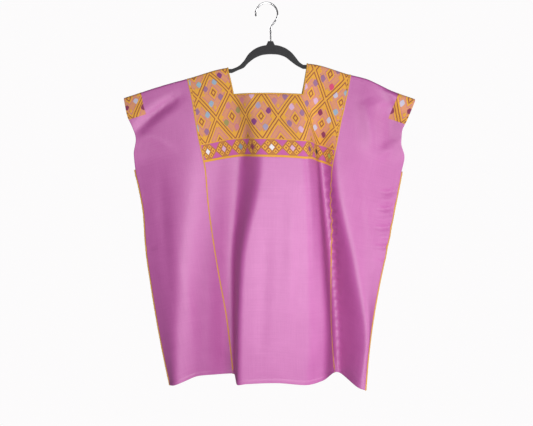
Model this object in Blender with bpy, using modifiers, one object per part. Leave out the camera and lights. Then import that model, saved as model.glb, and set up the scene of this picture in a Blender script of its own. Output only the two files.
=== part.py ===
"""A huipil blouse hanging on a flat clothes hanger.

Three woven lengths of cloth are folded over the shoulders: a centre length with a square neck hole,
and a narrower one on each side. Gold joining stitch runs down each long seam, the outer edges are
whipped together below the armholes, and the neck hole is bound. The blouse hangs on the arms of a
flocked hanger with a wire hook.

+X is to the right seen from the front, the front faces -Y, and +Z is up. The origin is the inner top
of the hook, where a rail carries it. Sizes below are in millimetres.
"""

import math

import bmesh
import bpy
import numpy as np

MM = 0.001

# Cloth and stitching
WALL = 1.6
FOLD_RADIUS = 3.8
FOLD_STEPS = 6
SOFTNESS = 12.0
SAMPLE = 1.0
SECTION_POINTS = 1200
STITCH_RADIUS = 1.3
STITCH_PROUD = 0.6
SEAM_HALF_GAP = 1.8
SIDE_BEAD_OUT = 1.75
SIDE_HALF_GAP = 1.3

# Columns of each length, from one of its sides to the other
LEFT_COLUMNS = 8
RIGHT_COLUMNS = 15
STRAP_COLUMNS = 6
NECK_COLUMNS = 8
SEAM_COLUMN = 4.0

# Neck hole: its sides as shares of the centre length's width, its lower edge as a share of the drop
NECK_LEFT = 0.262
NECK_RIGHT = 0.722
NECK_DROP = 0.084
NECK_SPLAY = ((0.0, 0.0), (NECK_LEFT, -0.0166), (NECK_RIGHT, 0.0145), (1.0, 0.0))
HANGER_TILT = 0.052
TILT_REACH = 75.0
TILT_DROP = 0.1

# The drop runs from 0 at the shoulder fold to 1 at the hem
SLEEVE_DROP = 0.13
ARMHOLE_DROP = 0.245
YOKE_DROP = 0.29
WAIST_DROP = 0.62
KNEE_DROP = 0.84
FOLD_DROPS = (0.0, SLEEVE_DROP, YOKE_DROP, WAIST_DROP, 1.0)
CREST_DROPS = (SLEEVE_DROP, YOKE_DROP, WAIST_DROP, KNEE_DROP, 1.0)
ROW_DROPS = (
    0.0, 0.02, 0.048, NECK_DROP, 0.115, 0.145, 0.175, 0.21, ARMHOLE_DROP, 0.285, 0.33, 0.38,
    0.43, 0.48, 0.54, 0.6, 0.66, 0.72, 0.78, 0.84, 0.9, 0.95, 1.0,
)

# Where the four long edges lie at each height
OUTLINE = (
    # drop, left side, left seam, right seam, right side
    (0.00, -286.5, -157.5, 167.5, 298.5),
    (0.06, -280.0, -150.0, 160.0, 283.0),
    (0.10, -270.0, -146.0, 154.5, 273.5),
    (0.14, -263.5, -142.0, 149.0, 272.5),
    (0.19, -268.5, -136.5, 143.0, 279.5),
    (0.245, -266.5, -129.0, 137.0, 274.5),
    (0.30, -259.5, -123.0, 132.0, 269.0),
    (0.40, -250.0, -118.5, 129.5, 258.0),
    (0.50, -247.0, -111.5, 133.0, 247.0),
    (0.65, -236.0, -98.5, 134.0, 228.0),
    (0.80, -222.0, -83.5, 133.0, 211.5),
    (0.90, -211.0, -76.5, 136.0, 203.0),
    (1.00, -199.0, -70.0, 141.5, 197.0),
)

# Height of the cloth's top edge, from one sleeve end to the other
SHOULDER = (
    # place, x, z
    ("left sleeve end", -286.5, -185.5),
    ("left slope", -206.0, -160.0),
    ("left seam", -157.5, -147.0),
    ("left neck edge", -75.0, -125.5),
    ("right neck edge", 79.0, -117.5),
    ("right seam", 167.5, -139.5),
    ("right bend", 200.0, -147.5),
    ("hanger end", 222.0, -157.0),
    ("right slope", 250.0, -170.5),
    ("right sleeve end", 298.5, -187.7),
)

# Height of the hem, front and back
FRONT_HEM = (
    # place, x, z
    ("left corner", -199.0, -775.0),
    ("left length, outer half", -172.0, -763.0),
    ("left length, inner half", -140.0, -754.0),
    ("left seam", -68.0, -760.0),
    ("centre ridge", -40.0, -755.0),
    ("centre", 20.0, -752.0),
    ("right slope", 80.0, -756.0),
    ("right valley", 135.0, -752.0),
    ("right corner", 197.0, -766.0),
)
BACK_HEM = (
    ("left corner", -199.0, -775.0),
    ("left length", -140.0, -757.0),
    ("left ridge", -38.0, -752.0),
    ("middle valley", 30.0, -757.0),
    ("right ridge", 92.0, -752.0),
    ("right length", 150.0, -758.0),
    ("right corner", 197.0, -766.0),
)

# Crests and valleys: where they run, and how far they stand out of the hanger's plane
FRONT_FOLDS = (
    # name, x at sleeve, yoke, waist, knee and hem, outward at sleeve, yoke, waist and hem
    ("left length crest", -170.0, -152.0, -174.0, -182.0, -186.0, 12.0, 24.0, 36.0, 44.0),
    ("left slope", -115.0, -108.0, -121.0, -124.0, -124.0, 10.0, 15.0, 18.0, 21.0),
    ("left valley", -64.0, -58.0, -71.0, -70.0, -68.0, 6.0, 2.0, -4.0, -6.0),
    ("centre ridge", -31.0, -9.0, -48.0, -55.0, -57.0, 26.0, 50.0, 62.0, 76.0),
    ("centre plateau", 66.0, 74.0, 84.0, 84.0, 76.0, 26.0, 52.0, 66.0, 80.0),
    ("right slope", 84.0, 93.0, 108.0, 116.0, 112.0, 18.0, 30.0, 46.0, 62.0),
    ("right valley", 101.0, 111.0, 132.0, 143.0, 149.0, 6.0, -4.0, -9.0, 6.0),
    ("right crest", 142.0, 142.0, 183.0, 205.0, 191.0, 13.0, 26.0, 52.0, 82.0),
)
BACK_FOLDS = (
    ("left length crest", -200.0, -200.0, -178.0, -162.0, -150.0, 8.0, 18.0, 20.0, 16.0),
    ("left valley", -125.0, -125.0, -110.0, -98.0, -90.0, 8.0, 12.0, 16.0, 24.0),
    ("left ridge", -60.0, -66.0, -56.0, -46.0, -40.0, 18.0, 48.0, 64.0, 78.0),
    ("middle valley", 4.0, 6.0, 16.0, 26.0, 32.0, 9.0, 16.0, 24.0, 30.0),
    ("right ridge", 66.0, 74.0, 82.0, 88.0, 92.0, 18.0, 50.0, 66.0, 82.0),
    ("right valley", 118.0, 122.0, 127.0, 130.0, 132.0, 8.0, 14.0, 20.0, 26.0),
    ("right length crest", 172.0, 172.0, 169.0, 167.0, 165.0, 9.0, 26.0, 36.0, 34.0),
    ("right turn", 214.0, 210.0, 200.0, 192.0, 187.0, 8.0, 14.0, 16.0, 14.0),
)

# The two side edges: half the open gap between front and back, and how far they swing forwards
EDGES = (
    # drop, half gap, left forwards, right forwards
    (0.0, FOLD_RADIUS, 0.0, 0.0),
    (0.10, 9.0, 0.0, 0.0),
    (0.19, 6.0, 0.0, 0.0),
    (ARMHOLE_DROP, SIDE_HALF_GAP, 0.0, 0.0),
    (WAIST_DROP, SIDE_HALF_GAP, 8.0, 24.0),
    (1.0, SIDE_HALF_GAP, 25.0, 80.0),
)

# Hanger
HANGER_FLAT = 0.5
HANGER_ROUNDING = 2.0
HANGER_BELOW_CLOTH = 2.3
ARM_LEFT_END = -212.0
ARM_RIGHT_END = 219.0
ARM_DEPTH = 8.2
ARM_STEP = 18.0
ARCH_STEP = 7.0
ARCH = (
    # x, upper edge, lower edge
    (-69.0, -128.0, -136.2),
    (-57.0, -123.0, -130.6),
    (-46.0, -113.0, -126.0),
    (-36.0, -98.5, -116.0),
    (-21.0, -87.1, -105.5),
    (-6.0, -82.0, -100.3),
    (8.0, -80.4, -99.1),
    (20.0, -81.2, -99.6),
    (35.0, -85.5, -103.5),
    (49.0, -94.5, -113.2),
    (58.0, -104.5, -120.0),
    (66.0, -114.5, -124.6),
    (73.5, -119.9, -128.1),
)
BOSS_X = 8.0
BOSS_TOP = -73.3
BOSS_HALF_WIDTH = 8.5
BOSS_TOP_HALF_WIDTH = 5.0

# Hook
WIRE_RADIUS = 1.75
HOOK_INNER_RADIUS = 20.0
HOOK_START_ANGLE = -22.0
HOOK_END_ANGLE = 192.0
HOOK_STEPS = 20
NECK_BEND_STEPS = 7
STEM_TOP = -52.0
SEAT_GAP = 0.3

COLOURS = {
    # name: red, green, blue, roughness, metallic
    "orchid_cloth": (0.52, 0.13, 0.36, 0.85, 0.0),
    "gold_thread": (0.62, 0.33, 0.05, 0.7, 0.0),
    "grey_flock": (0.055, 0.058, 0.062, 0.95, 0.0),
    "bright_wire": (0.75, 0.75, 0.76, 0.2, 1.0),
}


def steady_curve(knots, values, at):
    """A smooth curve through the values that doesn't swing past them."""
    knots, values = np.asarray(knots, float), np.asarray(values, float)
    rise = np.diff(values) / np.diff(knots)
    slope = np.zeros(len(values))
    same_way = rise[:-1] * rise[1:] > 0
    slope[1:-1][same_way] = (2 * rise[:-1] * rise[1:])[same_way] / (rise[:-1] + rise[1:])[same_way]
    slope[0], slope[-1] = rise[0], rise[-1]
    at = np.clip(np.asarray(at, float), knots[0], knots[-1])
    i = np.clip(np.searchsorted(knots, at) - 1, 0, len(knots) - 2)
    width = knots[i + 1] - knots[i]
    t = (at - knots[i]) / width
    start = (1 + 2 * t) * (1 - t) ** 2 * values[i] + t * (1 - t) ** 2 * width * slope[i]
    end = t * t * (3 - 2 * t) * values[i + 1] + t * t * (t - 1) * width * slope[i + 1]
    return start + end


def rounded(x, y):
    """The same section with its bends eased over a short length of the cloth."""
    length = np.concatenate(([0.0], np.cumsum(np.hypot(np.diff(x), np.diff(y)))))
    even = np.linspace(0.0, length[-1], int(length[-1] / SAMPLE))
    reach = int(SOFTNESS / SAMPLE)
    window = np.hanning(2 * reach + 3)[1:-1]
    eased = []
    for values in (x, y):
        line = np.interp(even, length, values)
        before = 2 * line[0] - line[reach:0:-1]
        after = 2 * line[-1] - line[-2:-reach - 2:-1]
        eased.append(np.convolve(np.concatenate((before, line, after)), window / window.sum(), "valid"))
    return eased


def column(table, index):
    return [row[index] for row in table]


def outline_at(drop):
    """x of the left side, left seam, right seam and right side."""
    drops = column(OUTLINE, 0)
    return [float(steady_curve(drops, column(OUTLINE, i), drop)) for i in range(1, 5)]


def shoulder_z(x):
    return float(steady_curve(column(SHOULDER, 1), column(SHOULDER, 2), x))


def splayed(drop, shares):
    """Shares of the centre length, spread by the hanger towards the top of the neck hole."""
    spread = max(0.0, 1.0 - drop / NECK_DROP)
    return shares + spread * np.interp(shares, column(NECK_SPLAY, 0), column(NECK_SPLAY, 1))


class Face:
    """The front or the back of the cloth, as a surface to take points from."""

    def __init__(self, folds, hem, facing):
        self.folds, self.hem, self.facing = folds, hem, facing
        self.rows = {}

    def row(self, drop):
        """The cloth's cross-section at one height, measured along the cloth."""
        if drop not in self.rows:
            lines = outline_at(drop)
            drops = column(EDGES, 0)
            gap, left, right = [float(steady_curve(drops, column(EDGES, i), drop)) for i in (1, 2, 3)]
            forwards = -self.facing
            knots, out = [lines[0]], [gap + forwards * left]
            for fold in self.folds:
                places, outward = fold[1:6], (FOLD_RADIUS, *fold[6:])
                knots.append(float(steady_curve(CREST_DROPS, places, drop)))
                out.append(float(steady_curve(FOLD_DROPS, outward, drop)))
            knots.append(lines[3])
            out.append(gap + forwards * right)
            x = np.linspace(lines[0], lines[3], SECTION_POINTS)
            x, y = rounded(x, self.facing * steady_curve(knots, out, x))
            length = np.concatenate(([0.0], np.cumsum(np.hypot(np.diff(x), np.diff(y)))))
            self.rows[drop] = (x, y, length, np.interp(lines, x, length))
        return self.rows[drop]

    def across(self, drop, panel, share, shift=0.0):
        """x, y and outward normal at a share of a length's width, shifted along the cloth."""
        x, y, length, borders = self.row(drop)
        share = splayed(drop, share) if panel == 1 else share
        at = borders[panel] + (borders[panel + 1] - borders[panel]) * share + shift
        px, py = np.interp(at, length, x), np.interp(at, length, y)
        dx = np.interp(at + 1, length, x) - np.interp(at - 1, length, x)
        dy = np.interp(at + 1, length, y) - np.interp(at - 1, length, y)
        size = math.hypot(dx, dy) * self.facing
        return float(px), float(py), (float(-dy / size), float(dx / size), 0.0)

    def point(self, drop, panel, share, shift=0.0):
        x, y, normal = self.across(drop, panel, share, shift)
        top_x = self.across(0.0, panel, share, shift)[0]
        hem_x = self.across(1.0, panel, share, shift)[0]
        top = shoulder_z(top_x) - WALL / 2 - FOLD_RADIUS
        hem = float(steady_curve(column(self.hem, 1), column(self.hem, 2), hem_x))
        level = min(max(top_x, -TILT_REACH), TILT_REACH) * HANGER_TILT
        near = drop / TILT_DROP * math.exp(1 - drop / TILT_DROP)
        return (x, y, top + (hem - top) * drop - level * near), normal


FRONT = Face(FRONT_FOLDS, FRONT_HEM, -1.0)
BACK = Face(BACK_FOLDS, BACK_HEM, 1.0)


def length_line(panel, share, shift=0.0, start=0.0, end=1.0, extra_drops=()):
    """Points and normals down one line of a length: front, over the shoulder, and back."""
    drops = sorted(d for d in set(ROW_DROPS) | set(extra_drops) if start <= d <= end)
    front = [FRONT.point(d, panel, share, shift) for d in reversed(drops)]
    back = [BACK.point(d, panel, share, shift) for d in drops]
    over = []
    if start == 0.0:
        (x, _, z), _ = front[-1]
        for i in range(1, FOLD_STEPS):
            angle = math.pi * i / FOLD_STEPS
            normal = (0.0, -math.cos(angle), math.sin(angle))
            over.append(((x, FOLD_RADIUS * normal[1], z + FOLD_RADIUS * normal[2]), normal))
    return front + over + back


def lifted(line, height):
    return [tuple(p[i] + n[i] * height for i in range(3)) for p, n in line]


def in_metres(points):
    return [tuple(MM * value for value in point) for point in points]


def material(name):
    red, green, blue, roughness, metallic = COLOURS[name]
    made = bpy.data.materials.new(name)
    made.diffuse_color = (red, green, blue, 1.0)
    made.use_nodes = True
    shader = made.node_tree.nodes["Principled BSDF"]
    shader.inputs["Base Color"].default_value = (red, green, blue, 1.0)
    shader.inputs["Roughness"].default_value = roughness
    shader.inputs["Metallic"].default_value = metallic
    return made


def link(name, data, finish):
    data.materials.append(finish)
    piece = bpy.data.objects.new(name, data)
    bpy.data.collections["huipil_blouse"].objects.link(piece)
    return piece


def cloth_wall(name, lines, finish, is_hole=None):
    """One length of cloth: a sheet through its lines of points, given its thickness."""
    mesh = bpy.data.meshes.new(name)
    bm = bmesh.new()
    rows = [[bm.verts.new(p) for p in in_metres([p for p, _ in line])] for line in lines]
    for i in range(len(rows) - 1):
        for j in range(len(rows[i]) - 1):
            if is_hole is None or not is_hole(i, j):
                bm.faces.new((rows[i][j], rows[i + 1][j], rows[i + 1][j + 1], rows[i][j + 1]))
    for vert in [v for v in bm.verts if not v.link_faces]:
        bm.verts.remove(vert)
    bm.to_mesh(mesh)
    bm.free()
    mesh.shade_smooth()
    piece = link(name, mesh, finish)
    thickness = piece.modifiers.new("cloth thickness", "SOLIDIFY")
    thickness.thickness = WALL * MM
    thickness.offset = 0.0
    return piece


def cord_curve(name, points, radius, finish, closed=False):
    """A round thread or wire through its points."""
    curve = bpy.data.curves.new(name, "CURVE")
    curve.dimensions = "3D"
    curve.bevel_depth = radius * MM
    curve.bevel_resolution = 2
    curve.use_fill_caps = True
    spline = curve.splines.new("POLY")
    spline.points.add(len(points) - 1)
    for target, point in zip(spline.points, in_metres(points)):
        target.co = (*point, 1.0)
    spline.use_cyclic_u = closed
    return link(name, curve, finish)


def side_length(name, panel, columns, finish):
    """A side length: its inner edge leaves room for the joining stitch."""
    left = panel == 0
    inner = 1.0 if left else 0.0
    towards = -1.0 if left else 1.0
    shares = [i / columns for i in range(columns + 1)]
    places = [(share, 0.0) for share in shares if share != inner]
    seam = [(inner, towards * SEAM_HALF_GAP), (inner, towards * (SEAM_HALF_GAP + SEAM_COLUMN))]
    places = places + seam[::-1] if left else seam + places
    return cloth_wall(name, [length_line(panel, share, shift) for share, shift in places], finish)


def centre_length(finish):
    """The centre length, with the square neck hole left out of its grid."""
    below_binding = NECK_DROP + SEAM_HALF_GAP / abs(FRONT_HEM[5][2])
    left_strap = [NECK_LEFT * i / STRAP_COLUMNS for i in range(1, STRAP_COLUMNS)]
    neck_width = NECK_RIGHT - NECK_LEFT
    across_neck = [NECK_LEFT + neck_width * i / NECK_COLUMNS for i in range(1, NECK_COLUMNS)]
    right_strap = [NECK_RIGHT + (1 - NECK_RIGHT) * i / STRAP_COLUMNS for i in range(1, STRAP_COLUMNS)]
    places = [(0.0, SEAM_HALF_GAP), (0.0, SEAM_HALF_GAP + SEAM_COLUMN)]
    places += [(share, 0.0) for share in left_strap] + [(NECK_LEFT, -SEAM_HALF_GAP)]
    first_open = len(places) - 1
    places += [(share, 0.0) for share in across_neck] + [(NECK_RIGHT, SEAM_HALF_GAP)]
    last_open = len(places) - 1
    places += [(share, 0.0) for share in right_strap]
    places += [(1.0, -SEAM_HALF_GAP - SEAM_COLUMN), (1.0, -SEAM_HALF_GAP)]
    lines = [length_line(1, share, shift, extra_drops=(below_binding,)) for share, shift in places]
    drops = sorted(set(ROW_DROPS) | {below_binding})
    edge = len(drops) - 1 - drops.index(below_binding)
    far_edge = len(lines[0]) - 1 - edge

    def is_hole(i, j):
        return first_open <= i < last_open and edge <= j < far_edge

    return cloth_wall("centre_panel", lines, finish, is_hole)


def neck_edge():
    """The closed path of the binding: along the front, over a shoulder, along the back, and over."""
    sides = [length_line(1, share, end=NECK_DROP) for share in (NECK_LEFT, NECK_RIGHT)]
    shares = [NECK_LEFT + (NECK_RIGHT - NECK_LEFT) * i / NECK_COLUMNS for i in range(1, NECK_COLUMNS)]
    front = [FRONT.point(NECK_DROP, 1, share) for share in shares]
    back = [BACK.point(NECK_DROP, 1, share) for share in reversed(shares)]
    return front + sides[1] + back + sides[0][::-1]


def side_seam_points(side):
    """The whipped seam lies just outside the two edges that it joins."""
    panel, share, out = (0, 0.0, -SIDE_BEAD_OUT) if side == "left" else (2, 1.0, SIDE_BEAD_OUT)
    points = []
    for drop in ROW_DROPS:
        if drop >= ARMHOLE_DROP:
            front, back = FRONT.point(drop, panel, share)[0], BACK.point(drop, panel, share)[0]
            points.append((front[0] + out, (front[1] + back[1]) / 2, (front[2] + back[2]) / 2))
    return points


def arc_points(centre, radius, start, end, steps):
    """Points round an arc in the XZ plane, angles in degrees."""
    angles = [math.radians(start + (end - start) * i / steps) for i in range(steps + 1)]
    return [(centre[0] + radius * math.cos(a), centre[1] + radius * math.sin(a)) for a in angles]


def spaced(start, end, step):
    count = max(2, math.ceil(abs(end - start) / step))
    return [start + (end - start) * i / count for i in range(count + 1)]


def hanger_outline():
    """The hanger's flat outline: arms that follow the shoulders, joined by a raised arch."""
    arch_left, arch_right = ARCH[0][0], ARCH[-1][0]
    xs = spaced(ARM_LEFT_END, arch_left, ARM_STEP)[:-1]
    xs += spaced(arch_left, arch_right, ARCH_STEP)
    xs += spaced(arch_right, ARM_RIGHT_END, ARM_STEP)[1:]

    def edge(x, index, below):
        if arch_left <= x <= arch_right:
            return float(steady_curve(column(ARCH, 0), column(ARCH, index), x))
        return shoulder_z(x) - HANGER_BELOW_CLOTH - below

    upper = [(x, edge(x, 1, 0.0)) for x in xs if abs(x - BOSS_X) > BOSS_HALF_WIDTH]
    boss = [
        (BOSS_X - BOSS_HALF_WIDTH, edge(BOSS_X - BOSS_HALF_WIDTH, 1, 0.0)),
        (BOSS_X - BOSS_TOP_HALF_WIDTH, BOSS_TOP),
        (BOSS_X + BOSS_TOP_HALF_WIDTH, BOSS_TOP),
        (BOSS_X + BOSS_HALF_WIDTH, edge(BOSS_X + BOSS_HALF_WIDTH, 1, 0.0)),
    ]
    upper = sorted(upper + boss)
    lower = [(x, edge(x, 2, ARM_DEPTH)) for x in reversed(xs)]
    half = ARM_DEPTH / 2
    right_centre = (upper[-1][0], upper[-1][1] - half)
    left_centre = (upper[0][0], upper[0][1] - half)
    right_tip = arc_points(right_centre, half, 60.0, -60.0, 4)
    left_tip = arc_points(left_centre, half, 240.0, 120.0, 4)
    return upper + right_tip + lower + left_tip


def hanger(finish):
    curve = bpy.data.curves.new("hanger", "CURVE")
    curve.dimensions = "2D"
    curve.fill_mode = "BOTH"
    curve.extrude = HANGER_FLAT * MM
    curve.bevel_depth = HANGER_ROUNDING * MM
    curve.bevel_resolution = 1
    curve.offset = -HANGER_ROUNDING * MM
    outline = hanger_outline()
    spline = curve.splines.new("POLY")
    spline.points.add(len(outline) - 1)
    for target, (x, z) in zip(spline.points, outline):
        target.co = (x * MM, z * MM, 0.0, 1.0)
    spline.use_cyclic_u = True
    piece = link("hanger", curve, finish)
    piece.rotation_euler = (math.pi / 2, 0.0, 0.0)
    return piece


def hook_points():
    """From the boss up the stem, round a neck bend and over the hook's circle."""
    middle = HOOK_INNER_RADIUS + WIRE_RADIUS
    circle = arc_points((0.0, -HOOK_INNER_RADIUS), middle, HOOK_START_ANGLE, HOOK_END_ANGLE, HOOK_STEPS)
    start, end = (BOSS_X, STEM_TOP), circle[0]
    reach = (end[1] - start[1]) / 2
    lean = math.radians(HOOK_START_ANGLE)
    first = (start[0], start[1] + reach)
    last = (end[0] + math.sin(lean) * reach, end[1] - math.cos(lean) * reach)
    bend = []
    for i in range(NECK_BEND_STEPS):
        t = i / NECK_BEND_STEPS
        weights = ((1 - t) ** 3, 3 * t * (1 - t) ** 2, 3 * t * t * (1 - t), t ** 3)
        corners = (start, first, last, end)
        bend.append(tuple(sum(w * c[k] for w, c in zip(weights, corners)) for k in (0, 1)))
    path = [(BOSS_X, BOSS_TOP + SEAT_GAP)] + bend + circle
    return [(x, 0.0, z) for x, z in path]


def clear_scene():
    for existing in list(bpy.data.objects):
        bpy.data.objects.remove(existing, do_unlink=True)
    blouse = bpy.data.collections.new("huipil_blouse")
    bpy.context.scene.collection.children.link(blouse)


def main():
    clear_scene()
    cloth, gold = material("orchid_cloth"), material("gold_thread")
    side_length("left_panel", 0, LEFT_COLUMNS, cloth)
    centre_length(cloth)
    side_length("right_panel", 2, RIGHT_COLUMNS, cloth)
    for name, panel in (("left_randa", 1), ("right_randa", 2)):
        seam = lifted(length_line(panel, 0.0), STITCH_PROUD)
        cord_curve(name, seam, STITCH_RADIUS, gold)
    cord_curve("neck_binding", lifted(neck_edge(), STITCH_PROUD), STITCH_RADIUS, gold, closed=True)
    for side in ("left", "right"):
        cord_curve(side + "_side_seam", side_seam_points(side), STITCH_RADIUS, gold)
    hanger(material("grey_flock"))
    cord_curve("hanger_hook", hook_points(), WIRE_RADIUS, material("bright_wire"))


main()
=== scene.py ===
"""Finish for a huipil blouse hanging on a flocked clothes hanger.

Three woven lengths are folded over the shoulders and joined by gold stitching. The yoke and the
sleeve ends are brocaded. Sizes in the tables are in millimetres: +X is to the right seen from the
front, the front faces -Y, +Z is up, and the origin is the inner top of the hook.
"""

import math

import bmesh
import bpy
import numpy as np
from bpy.props import FloatProperty, FloatVectorProperty, IntProperty, PointerProperty
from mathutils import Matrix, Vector


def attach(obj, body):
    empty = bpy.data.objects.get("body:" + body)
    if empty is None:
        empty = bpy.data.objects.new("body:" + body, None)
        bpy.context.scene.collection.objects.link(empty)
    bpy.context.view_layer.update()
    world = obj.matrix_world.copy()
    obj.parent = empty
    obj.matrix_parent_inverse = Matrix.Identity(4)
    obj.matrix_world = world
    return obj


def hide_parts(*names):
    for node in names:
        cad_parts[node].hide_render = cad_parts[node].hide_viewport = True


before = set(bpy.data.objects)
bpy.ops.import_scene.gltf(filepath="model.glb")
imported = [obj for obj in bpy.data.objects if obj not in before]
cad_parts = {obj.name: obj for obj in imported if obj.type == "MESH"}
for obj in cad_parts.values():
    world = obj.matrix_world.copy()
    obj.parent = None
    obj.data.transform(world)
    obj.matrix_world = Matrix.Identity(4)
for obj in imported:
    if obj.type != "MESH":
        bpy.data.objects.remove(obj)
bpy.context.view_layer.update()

bl_info = {
    "name": "Huipil blouse on a hanger",
    "version": (1, 0, 0),
    "blender": (4, 5, 0),
    "location": "3D View > Sidebar > Huipil",
    "description": "Builds a brocaded huipil blouse and the flocked hanger that it hangs on",
    "category": "Add Mesh",
}

MM = 0.001

# How the cloth hangs, and the neck hole's sides as shares of the centre length's width
FOLD_RADIUS = 3.8
SOFTNESS = 12.0
SAMPLE = 1.0
SECTION_POINTS = 1200
MIDDLE_OF_WALL = 0.8
SIDE_BEAD_OUT = 1.75
SIDE_HALF_GAP = 1.3
NECK_LEFT = 0.262
NECK_RIGHT = 0.722
NECK_DROP = 0.084
NECK_SPLAY = (
    # share of the centre length's width, share that it is spread by at the top
    (0.0, 0.0),
    (NECK_LEFT, -0.0166),
    (NECK_RIGHT, 0.0145),
    (1.0, 0.0),
)
HANGER_TILT = 0.052
TILT_REACH = 75.0
TILT_DROP = 0.1

# The drop runs from 0 at the shoulder fold to 1 at the hem
SLEEVE_DROP = 0.13
ARMHOLE_DROP = 0.245
YOKE_DROP = 0.29
WAIST_DROP = 0.62
KNEE_DROP = 0.84
FOLD_DROPS = (0.0, SLEEVE_DROP, YOKE_DROP, WAIST_DROP, 1.0)
CREST_DROPS = (SLEEVE_DROP, YOKE_DROP, WAIST_DROP, KNEE_DROP, 1.0)

# Where the four long edges lie at each height
OUTLINE = (
    # drop, left side, left seam, right seam, right side
    (0.00, -286.5, -157.5, 167.5, 298.5),
    (0.06, -280.0, -150.0, 160.0, 283.0),
    (0.10, -270.0, -146.0, 154.5, 273.5),
    (0.14, -263.5, -142.0, 149.0, 272.5),
    (0.19, -268.5, -136.5, 143.0, 279.5),
    (0.245, -266.5, -129.0, 137.0, 274.5),
    (0.30, -259.5, -123.0, 132.0, 269.0),
    (0.40, -250.0, -118.5, 129.5, 258.0),
    (0.50, -247.0, -111.5, 133.0, 247.0),
    (0.65, -236.0, -98.5, 134.0, 228.0),
    (0.80, -222.0, -83.5, 133.0, 211.5),
    (0.90, -211.0, -76.5, 136.0, 203.0),
    (1.00, -199.0, -70.0, 141.5, 197.0),
)

# Height of the cloth's top edge, from one sleeve end to the other
SHOULDER = (
    # place, x, z
    ("left sleeve end", -286.5, -185.5),
    ("left slope", -206.0, -160.0),
    ("left seam", -157.5, -147.0),
    ("left neck edge", -75.0, -125.5),
    ("right neck edge", 79.0, -117.5),
    ("right seam", 167.5, -139.5),
    ("right bend", 200.0, -147.5),
    ("hanger end", 222.0, -157.0),
    ("right slope", 250.0, -170.5),
    ("right sleeve end", 298.5, -187.7),
)

# Height of the hem, front and back
FRONT_HEM = (
    # place, x, z
    ("left corner", -199.0, -775.0),
    ("left length, outer half", -172.0, -763.0),
    ("left length, inner half", -140.0, -754.0),
    ("left seam", -68.0, -760.0),
    ("centre ridge", -40.0, -755.0),
    ("centre", 20.0, -752.0),
    ("right slope", 80.0, -756.0),
    ("right valley", 135.0, -752.0),
    ("right corner", 197.0, -766.0),
)
BACK_HEM = (
    ("left corner", -199.0, -775.0),
    ("left length", -140.0, -757.0),
    ("left ridge", -38.0, -752.0),
    ("middle valley", 30.0, -757.0),
    ("right ridge", 92.0, -752.0),
    ("right length", 150.0, -758.0),
    ("right corner", 197.0, -766.0),
)

# Crests and valleys: where they run, and how far they stand out of the hanger's plane
FRONT_FOLDS = (
    # name, x at sleeve, yoke, waist, knee and hem, outward at sleeve, yoke, waist and hem
    ("left length crest", -170.0, -152.0, -174.0, -182.0, -186.0, 12.0, 24.0, 36.0, 44.0),
    ("left slope", -115.0, -108.0, -121.0, -124.0, -124.0, 10.0, 15.0, 18.0, 21.0),
    ("left valley", -64.0, -58.0, -71.0, -70.0, -68.0, 6.0, 2.0, -4.0, -6.0),
    ("centre ridge", -31.0, -9.0, -48.0, -55.0, -57.0, 26.0, 50.0, 62.0, 76.0),
    ("centre plateau", 66.0, 74.0, 84.0, 84.0, 76.0, 26.0, 52.0, 66.0, 80.0),
    ("right slope", 84.0, 93.0, 108.0, 116.0, 112.0, 18.0, 30.0, 46.0, 62.0),
    ("right valley", 101.0, 111.0, 132.0, 143.0, 149.0, 6.0, -4.0, -9.0, 6.0),
    ("right crest", 142.0, 142.0, 183.0, 205.0, 191.0, 13.0, 26.0, 52.0, 82.0),
)
BACK_FOLDS = (
    ("left length crest", -200.0, -200.0, -178.0, -162.0, -150.0, 8.0, 18.0, 20.0, 16.0),
    ("left valley", -125.0, -125.0, -110.0, -98.0, -90.0, 8.0, 12.0, 16.0, 24.0),
    ("left ridge", -60.0, -66.0, -56.0, -46.0, -40.0, 18.0, 48.0, 64.0, 78.0),
    ("middle valley", 4.0, 6.0, 16.0, 26.0, 32.0, 9.0, 16.0, 24.0, 30.0),
    ("right ridge", 66.0, 74.0, 82.0, 88.0, 92.0, 18.0, 50.0, 66.0, 82.0),
    ("right valley", 118.0, 122.0, 127.0, 130.0, 132.0, 8.0, 14.0, 20.0, 26.0),
    ("right length crest", 172.0, 172.0, 169.0, 167.0, 165.0, 9.0, 26.0, 36.0, 34.0),
    ("right turn", 214.0, 210.0, 200.0, 192.0, 187.0, 8.0, 14.0, 16.0, 14.0),
)

# The two side edges: half the open gap between front and back, and how far they swing forwards
EDGES = (
    # drop, half gap, left forwards, right forwards
    (0.0, FOLD_RADIUS, 0.0, 0.0),
    (0.10, 9.0, 0.0, 0.0),
    (0.19, 6.0, 0.0, 0.0),
    (ARMHOLE_DROP, SIDE_HALF_GAP, 0.0, 0.0),
    (WAIST_DROP, SIDE_HALF_GAP, 8.0, 24.0),
    (1.0, SIDE_HALF_GAP, 25.0, 80.0),
)

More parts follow.
